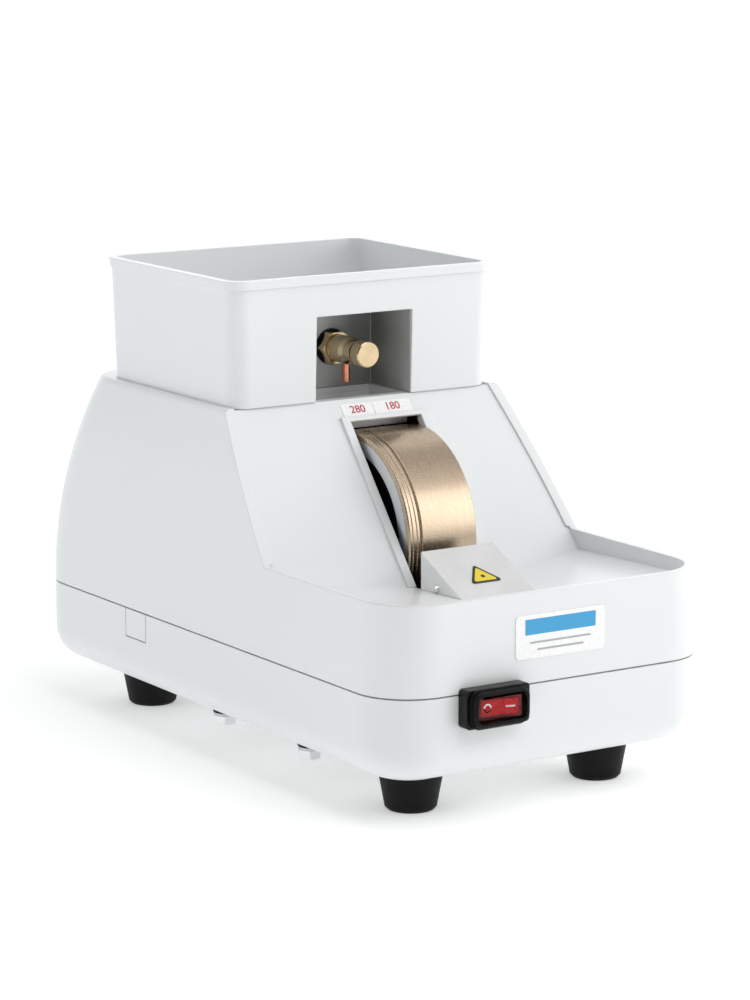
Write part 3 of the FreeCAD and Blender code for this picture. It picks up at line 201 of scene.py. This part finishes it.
# ---------------------------------------------------------------- materials
class Graph:
    """A material's node tree, with short ways to add the nodes that these finishes use."""

    def __init__(self, name):
        self.material = bpy.data.materials.new(name)
        self.material.use_nodes = True
        self.tree = self.material.node_tree
        self.shader = self.tree.nodes["Principled BSDF"]
        self.at = self.node("ShaderNodeTexCoord").outputs["Object"]

    def node(self, kind, inputs=None, **settings):
        made = self.tree.nodes.new(kind)
        for key, value in settings.items():
            setattr(made, key, value)
        for key, value in (inputs or {}).items():
            if isinstance(value, bpy.types.NodeSocket):
                self.tree.links.new(value, made.inputs[key])
            else:
                made.inputs[key].default_value = value
        return made

    def set(self, socket, value):
        if isinstance(value, bpy.types.NodeSocket):
            self.tree.links.new(value, self.shader.inputs[socket])
        else:
            self.shader.inputs[socket].default_value = value

    def colour(self, value):
        self.set("Base Color", value)

    def noise(self, scale, detail=3.0, at=None, rough=0.5):
        made = self.node(
            "ShaderNodeTexNoise",
            {"Vector": at or self.at, "Scale": scale, "Detail": detail, "Roughness": rough},
        )
        return made.outputs["Fac"]

    def stretched(self, x, y, z):
        made = self.node("ShaderNodeMapping", {"Vector": self.at, "Scale": (x, y, z)})
        return made.outputs["Vector"]

    def ranged(self, value, low, high, start=0.3, end=0.7):
        made = self.node(
            "ShaderNodeMapRange",
            {"Value": value, "From Min": start, "From Max": end, "To Min": low, "To Max": high},
        )
        return made.outputs["Result"]

    def math(self, operation, a, b=0.0, clamp=False):
        made = self.node("ShaderNodeMath", {0: a, 1: b}, operation=operation, use_clamp=clamp)
        return made.outputs[0]

    def between(self, factor, a, b):
        made = self.node("ShaderNodeMix", data_type="RGBA")
        for index, value in ((0, factor), (6, a), (7, b)):
            if isinstance(value, bpy.types.NodeSocket):
                self.tree.links.new(value, made.inputs[index])
            elif isinstance(value, tuple):
                made.inputs[index].default_value = (*value, 1.0)
            else:
                made.inputs[index].default_value = value
        return made.outputs[2]

    def bevel(self, radius):
        return self.node("ShaderNodeBevel", {"Radius": radius}, samples=6).outputs["Normal"]

    def edges(self, bevelled):
        """1 on sharp edges and 0 on faces."""
        flat = self.node("ShaderNodeNewGeometry").outputs["Normal"]
        product = self.node("ShaderNodeVectorMath", {0: bevelled, 1: flat}, operation="DOT_PRODUCT")
        turned = self.math("SUBTRACT", 1.0, product.outputs["Value"])
        return self.math("MULTIPLY", turned, 5.0, clamp=True)

    def bump(self, height, depth, normal=None):
        inputs = {"Height": height, "Distance": depth, "Strength": 1.0}
        if normal:
            inputs["Normal"] = normal
        return self.node("ShaderNodeBump", inputs).outputs["Normal"]

    def polar(self, centre, axis):
        """Place round an axis: along it, distance from it, and angle, as three sockets."""
        x, y, z = self.node("ShaderNodeSeparateXYZ", {0: self.at}).outputs
        if axis == "X":
            along, a, b = x, self.math("SUBTRACT", y, centre.y), self.math("SUBTRACT", z, centre.z)
        else:
            along, a, b = y, self.math("SUBTRACT", x, centre.x), self.math("SUBTRACT", z, centre.z)
        squares = self.math("ADD", self.math("MULTIPLY", a, a), self.math("MULTIPLY", b, b))
        return along, self.math("SQRT", squares), self.math("ARCTAN2", a, b)

    def vector(self, x, y, z):
        return self.node("ShaderNodeCombineXYZ", {0: x, 1: y, 2: z}).outputs[0]


def shaded(colour, factor):
    return tuple(c * factor for c in colour)


def varied(g, pattern, colour, low, high):
    """A colour that a noise pattern makes darker and lighter between two factors."""
    return g.between(g.ranged(pattern, 0.0, 1.0), shaded(colour, low), shaded(colour, high))


def finish(name, colour, rough, metallic=0.0, mottle=0.03, mottle_scale=25.0, grain=900.0,
           depth=0.00002, edge_radius=0.0004, edge_tone=1.08, spread=0.05, **sockets):
    """A general finish: uneven tone and gloss, a fine grain and softened, lightly rubbed edges."""
    g = Graph(name)
    clouds = g.noise(mottle_scale, 4.0)
    base = varied(g, clouds, colour, 1 - mottle, 1 + mottle)
    bevelled = g.bevel(edge_radius)
    edges = g.edges(bevelled)
    g.colour(g.between(edges, base, shaded(colour, edge_tone)))
    fine = g.noise(grain, 2.0)
    g.set("Roughness", g.ranged(g.noise(mottle_scale * 3.0, 3.0), rough - spread, rough + spread))
    g.set("Normal", g.bump(fine, depth, bevelled))
    g.set("Metallic", metallic)
    for socket, value in sockets.items():
        g.set(socket.replace("_", " "), value)
    return g


def moulded(name, colour, shade=None):
    """Semi-gloss injection moulding: faint orange peel under a light coat, edges a bit brighter."""
    g = Graph(name)
    clouds = g.noise(7.0, 3.0)
    base = varied(g, clouds, colour, 0.985, 1.01)
    specks = g.ranged(g.noise(1500.0, 1.0), 0.0, 0.25, 0.62, 0.8)
    base = g.between(specks, base, shaded(colour, 0.90))
    if shade:
        base = g.between(shade(g), base, NICHE_DARK)
    bevelled = g.bevel(0.0007)
    g.colour(g.between(g.edges(bevelled), base, shaded(colour, 1.06)))
    g.set("Roughness", g.ranged(g.noise(40.0, 3.0), 0.30, 0.37))
    peel = g.math("ADD", g.noise(420.0, 2.0), g.math("MULTIPLY", g.noise(2600.0, 1.0), 0.3))
    g.set("Normal", g.bump(peel, 0.000012, bevelled))
    g.set("Coat Weight", 0.25)
    g.set("Coat Roughness", 0.12)
    return g


# the niche in the tank's front, a little larger than its hollow
NICHE_LOW = (-0.0316, -0.003, 0.170)
NICHE_HIGH = (0.0306, 0.033, 0.2128)


def niche_shade(g):
    """Painted-on darkness that stands in for the deep shade on the walls of the tank's niche.

    It is fixed to the tank, from none on the left up to about 0.8 on the right, and stays under
    any light.
    """
    places = g.node("ShaderNodeSeparateXYZ", {0: g.at}).outputs
    inside = 1.0
    for place, low, high in zip(places, NICHE_LOW, NICHE_HIGH):
        inside = g.math("MULTIPLY", g.math("GREATER_THAN", place, low), inside)
        inside = g.math("MULTIPLY", g.math("LESS_THAN", place, high), inside)
    x, y, _ = places
    rightwards = g.ranged(x, 0.0, 0.80, -0.020, 0.016)
    inwards = g.ranged(y, 0.60, 1.0, 0.0, 0.026)
    normal = g.node("ShaderNodeNewGeometry").outputs["Normal"]
    _, _, upward = g.node("ShaderNodeSeparateXYZ", {0: normal}).outputs
    on_wall = g.math("LESS_THAN", upward, 0.5)
    patchy = g.ranged(g.noise(60.0, 3.0), 0.92, 1.0)
    strength = g.math("MULTIPLY", g.math("MULTIPLY", rightwards, inwards), patchy)
    return g.math("MULTIPLY", strength, g.math("MULTIPLY", inside, on_wall))


def bonded(name, colour, axis_at, lines):
    """Sintered diamond bond dressed by a stone: lines round the wheel and glinting grit."""
    g = Graph(name)
    along, _, angle = g.polar(axis_at, "X")
    streak_at = g.vector(g.math("MULTIPLY", along, lines), g.math("MULTIPLY", angle, 0.8), 0.0)
    streaks = g.noise(1.0, 4.0, streak_at, 0.65)
    clouds = g.noise(45.0, 3.0)
    tone = g.math("ADD", g.math("MULTIPLY", streaks, 0.6), g.math("MULTIPLY", clouds, 0.4))
    toned = g.ranged(tone, 0.0, 1.0, 0.35, 0.65)
    base = g.between(toned, shaded(colour, 0.94), shaded(colour, 1.05))
    grit = g.noise(1700.0, 2.0)
    pits = g.ranged(grit, 0.0, 1.0, 0.62, 0.74)
    base = g.between(g.math("MULTIPLY", pits, 0.30), base, shaded(colour, 0.74))
    bevelled = g.bevel(0.0004)
    g.colour(g.between(g.edges(bevelled), base, shaded(colour, 1.15)))
    g.set("Metallic", 1.0)
    g.set("Roughness", g.ranged(grit, 0.22, 0.32))
    normal = g.bump(streaks, 0.000006, bevelled)
    g.set("Normal", g.bump(grit, 0.000009, normal))
    g.set("Anisotropic", 0.25)
    g.set("Tangent", g.node("ShaderNodeTangent", direction_type="RADIAL", axis="X").outputs[0])
    return g


def turned_metal(name, colour, rough, axis_at, axis, pitch, depth=0.000006, mottle=0.04, dark=0.82):
    """Lathe-turned metal: rings on the faces and round the sides."""
    g = Graph(name)
    along, radius, angle = g.polar(axis_at, axis)
    rings_at = g.vector(g.math("MULTIPLY", radius, 1 / pitch), g.math("MULTIPLY", along, 1 / pitch),
                        g.math("MULTIPLY", angle, 0.25))
    rings = g.noise(1.0, 2.0, rings_at, 0.6)
    clouds = g.noise(120.0, 3.0)
    base = varied(g, clouds, colour, 1 - mottle, 1 + mottle)
    base = g.between(g.ranged(rings, 0.0, 0.35), base, shaded(colour, dark))
    bevelled = g.bevel(0.0002)
    g.colour(g.between(g.edges(bevelled), base, shaded(colour, 1.15)))
    g.set("Metallic", 1.0)
    g.set("Roughness", g.ranged(g.noise(300.0, 3.0), rough - 0.05, rough + 0.06))
    g.set("Normal", g.bump(rings, depth, bevelled))
    g.set("Anisotropic", 0.7)
    g.set("Tangent", g.node("ShaderNodeTangent", direction_type="RADIAL", axis=axis).outputs[0])
    return g


def brushed(name, colour, rough):
    """Brushed sheet metal: fine scratches across the part."""
    g = Graph(name)
    scratches = g.noise(1.0, 4.0, g.stretched(90.0, 2600.0, 2600.0), 0.7)
    clouds = g.noise(60.0, 3.0)
    base = varied(g, clouds, colour, 0.95, 1.05)
    base = g.between(g.ranged(scratches, 0.0, 0.5), base, shaded(colour, 0.86))
    bevelled = g.bevel(0.0003)
    g.colour(g.between(g.edges(bevelled), base, shaded(colour, 1.12)))
    g.set("Metallic", 0.75)
    g.set("Roughness", g.ranged(scratches, rough - 0.06, rough + 0.08))
    g.set("Normal", g.bump(scratches, 0.000008, bevelled))
    return g


def laminated(name, colour, pitch):
    """A stack of stamped sheets, seen as fine lines across the axis."""
    g = Graph(name)
    x, _, _ = g.node("ShaderNodeSeparateXYZ", {0: g.at}).outputs
    lines = g.math("PINGPONG", g.math("DIVIDE", x, pitch), 1.0)
    tone = g.noise(200.0, 3.0)
    base = varied(g, tone, colour, 0.85, 1.1)
    g.colour(g.between(g.ranged(lines, 0.0, 0.6, 0.6, 1.0), base, shaded(colour, 0.35)))
    g.set("Metallic", 0.9)
    g.set("Roughness", g.ranged(tone, 0.38, 0.55))
    g.set("Normal", g.bump(lines, 0.00004))
    return g


def wound(name, colour):
    """Enamelled copper wire laid round the stator."""
    g = Graph(name)
    wires = g.noise(1.0, 2.0, g.stretched(2200.0, 160.0, 160.0), 0.6)
    g.colour(varied(g, wires, colour, 0.45, 1.05))
    g.set("Metallic", 0.8)
    g.set("Roughness", g.ranged(g.noise(80.0), 0.25, 0.42))
    g.set("Normal", g.bump(wires, 0.00015))
    g.set("Coat Weight", 0.5)
    return g


def clear(name):
    """Soft clear PVC with a few faint smears."""
    g = Graph(name)
    g.colour(g.between(g.ranged(g.noise(150.0), 0.0, 1.0), (0.97, 0.97, 0.96), (1.0, 1.0, 1.0)))
    g.set("Transmission Weight", 1.0)
    g.set("IOR", 1.08)
    g.set("Roughness", g.ranged(g.noise(220.0, 2.0), 0.01, 0.04))
    g.set("Normal", g.bump(g.noise(260.0, 2.0), 0.000008))
    return g


def printed(name, colour, rough=0.35):
    """Printed film: even ink with a faint screen grain."""
    g = Graph(name)
    screen = g.ranged(g.noise(2200.0, 2.0), 0.0, 1.0)
    base = g.between(screen, shaded(colour, 0.95), shaded(colour, 1.03))
    worn = g.ranged(g.noise(350.0, 3.0), 0.0, 0.12, 0.6, 0.8)
    g.colour(g.between(worn, base, shaded(colour, 0.85)))
    g.set("Roughness", g.ranged(g.noise(500.0), rough - 0.05, rough + 0.07))
    g.set("Normal", g.bump(g.noise(1800.0, 2.0), 0.000006, g.bevel(0.0001)))
    return g


# half sizes of the rocker's raised middle: where its painted glow starts to fade and where it is
# gone; round it the rocker is painted dark as shade
PAINTED_GLOW_HALF_X = (0.0086, 0.0091)
PAINTED_GLOW_HALF_Z = (0.0034, 0.0038)
BEZEL_DEPTH = 0.006


def painted_glow_rocker(name, centre):
    """Translucent red rocker: a painted glow over the raised middle, and painted shade round it
    where it is hollow.
    """
    g = Graph(name)
    x, _, z = g.node("ShaderNodeSeparateXYZ", {0: g.at}).outputs
    beside = g.math("ABSOLUTE", g.math("SUBTRACT", x, centre.x))
    above = g.math("ABSOLUTE", g.math("SUBTRACT", z, centre.z))
    painted_shade_rim = g.math("MAXIMUM", g.ranged(beside, 0.0, 1.0, *PAINTED_GLOW_HALF_X),
                     g.ranged(above, 0.0, 1.0, *PAINTED_GLOW_HALF_Z))
    clouds = g.noise(160.0, 3.0)
    bright = varied(g, clouds, RED, 0.9, 1.08)
    # painted shade: dark red round the rocker's raised middle
    g.colour(g.between(painted_shade_rim, bright, PAINTED_DARK_RED))
    # painted glow: a faint light given off over the raised middle
    g.set("Emission Color", (*RED, 1.0))
    g.set("Emission Strength", g.ranged(painted_shade_rim, 0.07, 0.0, 0.0, 1.0))
    g.set("Roughness", g.ranged(g.noise(300.0), 0.25, 0.34))
    g.set("Normal", g.bump(g.noise(700.0, 2.0), 0.00001, g.bevel(0.0002)))
    g.set("Specular IOR Level", 0.3)
    return g


def bezel(name, back_y):
    """Moulded black switch body, with a painted reflection on its front: dark red for the red
    rocker seen through the clear cap.
    """
    g = Graph(name)
    _, y, _ = g.node("ShaderNodeSeparateXYZ", {0: g.at}).outputs
    behind = g.ranged(y, 0.0, 1.0, back_y - 0.0002, back_y + 0.0002)
    clouds = g.ranged(g.noise(90.0, 3.0), 0.0, 1.0)
    # painted reflection: the front is dark red where the red rocker shows through the cap
    front = g.between(clouds, shaded(PAINTED_DARK_RED, 0.8), shaded(PAINTED_DARK_RED, 1.2))
    g.colour(g.between(behind, front, BLACK))
    g.set("Roughness", g.ranged(g.noise(300.0), 0.28, 0.38))
    g.set("Specular IOR Level", 0.25)
    g.set("Normal", g.bump(g.noise(1500.0, 2.0), 0.00002, g.bevel(0.0003)))
    return g


def middle(node):
    low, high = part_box(node)
    return (low + high) / 2


def make_materials():
    wheel_at = middle("wheel_band_coarse")
    valve_at = middle("valve_knob")
    made = {
        "case_plastic": moulded("case_plastic_look", PLASTIC),
        "tank_plastic": moulded("tank_plastic_look", PLASTIC, niche_shade),
        "foot_rubber": finish("foot_rubber_look", RUBBER, 0.55, mottle=0.25, grain=1300.0,
                              depth=0.00004, edge_radius=0.0008, edge_tone=2.2,
                              Specular_IOR_Level=0.16),
        "black_rubber": finish("black_rubber_look", RUBBER, 0.38, mottle=0.2, edge_tone=1.9,
                               Specular_IOR_Level=0.12),
        "zinc_steel": finish("zinc_steel_look", ZINC, 0.27, 1.0, mottle=0.07, mottle_scale=160.0),
        "chrome_steel": finish("chrome_steel_look", CHROME, 0.12, 1.0, mottle=0.05),
        "stainless": brushed("stainless_look", STAINLESS, 0.38),
        "shaft_steel": turned_metal("shaft_steel_look", STEEL, 0.25, wheel_at, "X", 0.0004),
        "lamination": laminated("lamination_look", STEEL, 0.0005),
        "winding_copper": wound("winding_copper_look", COPPER),
        "cast_aluminium": turned_metal("cast_aluminium_look", ALUMINIUM, 0.36, wheel_at, "X",
                                       0.0005, 0.000002, 0.02, 0.93),
        "motor_paint": finish("motor_paint_look", MOTOR_PAINT, 0.45, mottle=0.1, grain=500.0,
                              depth=0.00006),
        "bronze_bond_fine": bonded("bronze_fine_look", shaded(BRONZE, 1.04), wheel_at, 1100.0),
        "bronze_bond_coarse": bonded("bronze_coarse_look", BRONZE, wheel_at, 450.0),
        "brass": turned_metal("brass_look", BRASS, 0.20, valve_at, "Y", 0.00022),
        "copper": finish("copper_look", COPPER, 0.24, 1.0, mottle=0.22, mottle_scale=260.0),
        "black_plastic": finish("black_plastic_look", BLACK, 0.30, mottle=0.15, grain=1500.0,
                                depth=0.00003, edge_tone=2.5, Specular_IOR_Level=0.22),
        "clear_cap": clear("clear_cap_look"),
        "red_rocker": painted_glow_rocker("red_rocker_look", middle("switch_rocker")),
        "hose_rubber": finish("hose_rubber_look", HOSE, 0.5, mottle=0.15),
        "lead_sleeve": finish("lead_sleeve_look", SLEEVE, 0.42, mottle=0.15),
        "label_white": printed("label_white_look", WHITE, 0.28),
        "label_yellow": printed("label_border_look", PRINT_BLACK, 0.32),
    }
    switch_bezel = bezel("switch_bezel_look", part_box("switch_body")[0].y + BEZEL_DEPTH)
    slots = {part["node"]: part["material_slot"] for part in frame["record"]["subparts"]}
    for name, node in nodes.items():
        look = (switch_bezel if name == "switch_body" else made[slots[name]]).material
        for holder in node.material_slots:
            holder.link = "OBJECT"
            holder.material = look


# ---------------------------------------------------------------- added detail
def add(name, mesh, body, look):
    """A new piece, already in place in the row frame, that rides on a CAD body."""
    piece = bpy.data.objects.new(name, mesh)
    scene.collection.objects.link(piece)
    mesh.materials.clear()
    mesh.materials.append(look.material)
    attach(piece, body)
    return piece


def facing(node, direction):
    """Centre and normal of a node's flat side that faces a direction."""
    mesh = nodes[node].data
    turned_to = [p for p in mesh.polygons if p.normal.dot(direction) > 0.9]
    best = max(turned_to, key=lambda p: p.area).normal.copy()
    flat = [p for p in turned_to if p.normal.dot(best) > 0.999]
    area = sum(p.area for p in flat)
    return sum((p.center * p.area for p in flat), Vector()) / area, best


def on_face(node, direction):
    """A frame on that side: X to the right, Y up the face, Z out of it."""
    centre, normal = facing(node, direction)
    right = Vector((1.0, 0.0, 0.0))
    up = normal.cross(right).normalized()
    right = up.cross(normal).normalized()
    turn = Matrix((right, up, normal)).transposed().to_4x4()
    return Matrix.Translation(centre) @ turn


def rounded(width, height, radius, steps=6, x=0.0, y=0.0):
    """Outline of a rectangle with round corners."""
    points = []
    for corner, (sx, sy) in enumerate(((1, 1), (-1, 1), (-1, -1), (1, -1))):
        for i in range(steps + 1):
            a = math.radians(90.0 * (corner + i / steps))
            points.append((x + sx * (width / 2 - radius) + radius * math.cos(a),
                           y + sy * (height / 2 - radius) + radius * math.sin(a)))
    return points


def film(outline, thick, place, holes=()):
    """A thin printed shape standing on a face."""
    shape = bmesh.new()
    edges = []
    for loop in (outline, *holes):
        corners = [shape.verts.new((x, y, 0.0)) for x, y in loop]
        edges += [shape.edges.new((a, b)) for a, b in zip(corners, corners[1:] + corners[:1])]
    bmesh.ops.triangle_fill(shape, use_beauty=True, edges=edges)
    raised = bmesh.ops.extrude_face_region(shape, geom=shape.faces[:])
    top = [v for v in raised["geom"] if isinstance(v, bmesh.types.BMVert)]
    bmesh.ops.translate(shape, vec=(0.0, 0.0, thick), verts=top)
    bmesh.ops.recalc_face_normals(shape, faces=shape.faces[:])
    mesh = bpy.data.meshes.new("film")
    shape.to_mesh(mesh)
    shape.free()
    mesh.transform(place)
    return mesh


def numerals(text, size, thick, place):
    curve = bpy.data.curves.new("numerals", "FONT")
    curve.body = text
    curve.size = size
    curve.align_x = "CENTER"
    curve.align_y = "CENTER"
    curve.extrude = thick
    curve.offset = size * 0.012
    holder = bpy.data.objects.new("numerals", curve)
    scene.collection.objects.link(holder)
    bpy.context.view_layer.update()
    evaluated = holder.evaluated_get(bpy.context.evaluated_depsgraph_get())
    mesh = bpy.data.meshes.new_from_object(evaluated)
    bpy.data.objects.remove(holder)
    mesh.transform(place)
    return mesh


INK = 0.00006           # thickness of a print
NUMERAL_SIZE = 0.0058
BAND = (0.0394, 0.0072, 0.0005)     # width, height and corner radius
BAND_UP = 0.0045
LINE_LENGTHS = {"a": 0.034, "b": 0.026}
LINE_W = 0.0009
LINE_UP = -0.0028
LINE_STEP = 0.0034
FIELD_SHARE = 0.76      # yellow field against its black border
DOT_D = 0.0022
RING_D = 0.0042
RING_HOLE_D = 0.0028
RING_X = -0.0060
BAR = (0.0044, 0.0008, 0.0003)
BAR_X = 0.0052
NEARLY = 0.00001        # keeps a full round from folding over itself


def disc(diameter, steps=6, x=0.0, y=0.0):
    return rounded(diameter, diameter, diameter / 2 - NEARLY, steps, x, y)


def make_labels():
    red = printed("print_red", PRINT_RED)
    blue = printed("print_blue", PRINT_BLUE)
    grey = printed("print_grey", PRINT_GREY)
    yellow = printed("print_yellow", YELLOW)
    dark = printed("print_dark", PRINT_BLACK)
    up_slope = Vector((0.0, -0.78, 0.63))
    for node, text in (("grit_label_fine", "280"), ("grit_label_coarse", "180")):
        place = on_face(node, up_slope)
        figures = numerals(text, NUMERAL_SIZE, INK, place)
        add("numerals_" + text, figures, "case", red)

    place = on_face("nameplate", Vector((0.0, -1.0, 0.0)))
    band = film(rounded(*BAND, y=BAND_UP), INK, place)
    add("nameplate_band", band, "case", blue)
    for row, (letter, length) in enumerate(LINE_LENGTHS.items()):
        outline = rounded(length, LINE_W, 0.0004, y=LINE_UP - LINE_STEP * row)
        add("nameplate_line_" + letter, film(outline, INK, place), "case", grey)

    place = on_face("warning_plate", Vector((0.0, -0.4, 0.9)))
    corners = outline_of("warning_plate", place)
    field = film(shrunk(corners, FIELD_SHARE), INK, place)
    add("warning_field", field, "case", yellow)
    x, y = middle_point(corners)
    dot = disc(DOT_D, x=x, y=y)
    add("warning_dot", film(dot, INK * 2, place), "case", dark)


def middle_point(points):
    return tuple(sum(p[i] for p in points) / len(points) for i in (0, 1))


def outline_of(node, place):
    """Outer corners of a node's top side, in the frame of that side, in order round it."""
    back = place.inverted()
    flat = [back @ v.co for v in nodes[node].data.vertices]
    top = [(round(p.x, 6), round(p.y, 6)) for p in flat if abs(p.z) < 0.00002]
    points = sorted(set(top))
    cx, cy = middle_point(points)
    return sorted(points, key=lambda p: math.atan2(p[1] - cy, p[0] - cx))


def shrunk(points, factor):
    cx, cy = middle_point(points)
    return [(cx + (x - cx) * factor, cy + (y - cy) * factor) for x, y in points]


def draped(mesh, node, lift):
    """Moves a mark's points along +Y onto a node's front side."""
    tree = BVHTree.FromPolygons(
        [v.co for v in nodes[node].data.vertices],
        [tuple(p.vertices) for p in nodes[node].data.polygons],
    )
    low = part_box(node)[0].y - 0.01
    for v in mesh.vertices:
        hit = tree.ray_cast(Vector((v.co.x, low, v.co.z)), Vector((0.0, 1.0, 0.0)))[0]
        if hit:
            v.co.y = hit.y - lift - (0.00002 if v.co.y < 0 else 0.0)
    return mesh


def make_switch_marks():
    white = printed("print_white", WHITE)
    centre = middle("switch_rocker")
    centre.y = 0.0
    stand = Matrix.Translation(centre) @ Matrix.Rotation(math.radians(90.0), 4, "X")
    hole = disc(RING_HOLE_D, 8, RING_X)
    ring = film(disc(RING_D, 8, RING_X), INK, stand, [hole])
    add("switch_mark_off", draped(ring, "switch_rocker", INK), "rocker", white)
    bar = film(rounded(*BAR, x=BAR_X), INK, stand)
    add("switch_mark_on", draped(bar, "switch_rocker", INK), "rocker", white)


# ---------------------------------------------------------------- the scene
scene.view_settings.view_transform = "Standard"
make_camera()
make_sky()
make_lights()
make_floor()
make_materials()
make_labels()
make_switch_marks()
